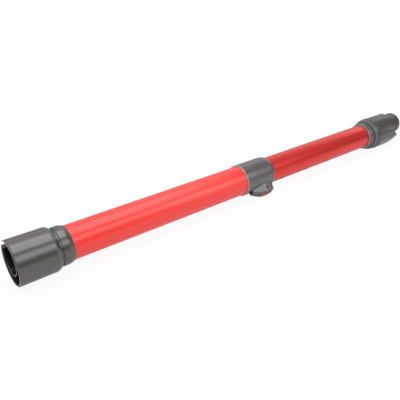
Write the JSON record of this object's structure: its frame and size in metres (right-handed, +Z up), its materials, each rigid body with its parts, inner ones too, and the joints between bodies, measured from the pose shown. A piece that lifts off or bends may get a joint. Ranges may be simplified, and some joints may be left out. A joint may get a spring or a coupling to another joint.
{
  "type": "vacuum extension tube",
  "caption": "Red telescopic vacuum cleaner tube with grey ends, a lock collar with a red button and a powered quick-release nose.",
  "frame": {"origin": "centre of the footprint, on the surface that the tube lies on", "axes": "+X along the tube towards the machine end, +Z up as it lies at rest"},
  "size_m": [0.6786, 0.054, 0.0515],
  "materials": {
    "grey_plastic": "satin",
    "light_grey_plastic": "satin",
    "black_plastic": "satin",
    "red_aluminium": "satin lacquer",
    "red_plastic": "gloss",
    "black_rubber": "matt",
    "brass": "polished",
    "steel": "drawn",
    "cable_jacket": "matt"
  },
  "bodies": {
    "outer": {"socket_housing": "grey_plastic", "airway_sleeve": "grey_plastic", "socket_gasket": "black_rubber", "plug_shroud": "black_plastic", "plug_pins": "brass", "socket_grommet": "black_rubber", "neck_sleeve": "grey_plastic", "outer_tube": "red_aluminium", "collar": "grey_plastic", "wiper_seal": "black_rubber", "guide_bush": "black_plastic", "pod_housing": "grey_plastic", "lock_pin": "steel", "lock_spring": "steel", "coiled_lead": "cable_jacket"},
    "lock": {"lock_button": "red_plastic"},
    "inner": {"inner_tube": "red_aluminium", "tail_bush": "black_plastic", "tail_seal": "black_rubber", "entry_ring": "grey_plastic", "machine_housing": "grey_plastic", "nose_tube": "grey_plastic", "nose_seal": "black_rubber", "port_housing": "light_grey_plastic", "port_insert": "black_plastic", "port_contacts": "brass", "machine_grommet": "black_rubber", "release_pin": "steel", "release_spring": "steel"},
    "release": {"release_button": "red_plastic"}
  },
  "joints": [
    {"name": "tube_slide", "type": "slide", "parent": "outer", "child": "inner", "axis": [1, 0, 0], "range_m": [-0.205, 0], "deforming": ["coiled_lead"]},
    {"name": "lock_press", "type": "hinge", "parent": "outer", "child": "lock", "pos_m": [0.0042, -0.01788, 0.00932], "axis": [0, -0.6521, 0.7581], "range_deg": [0, 9], "stiffness_Nm_per_rad": 0.3, "deforming": ["lock_spring"]},
    {"name": "release_press", "type": "hinge", "parent": "inner", "child": "release", "pos_m": [0.3157, 0.0176, 0.03983], "axis": [0, -0.6521, 0.7581], "range_deg": [0, 5], "stiffness_Nm_per_rad": 0.2, "deforming": ["release_spring"]}
  ]
}
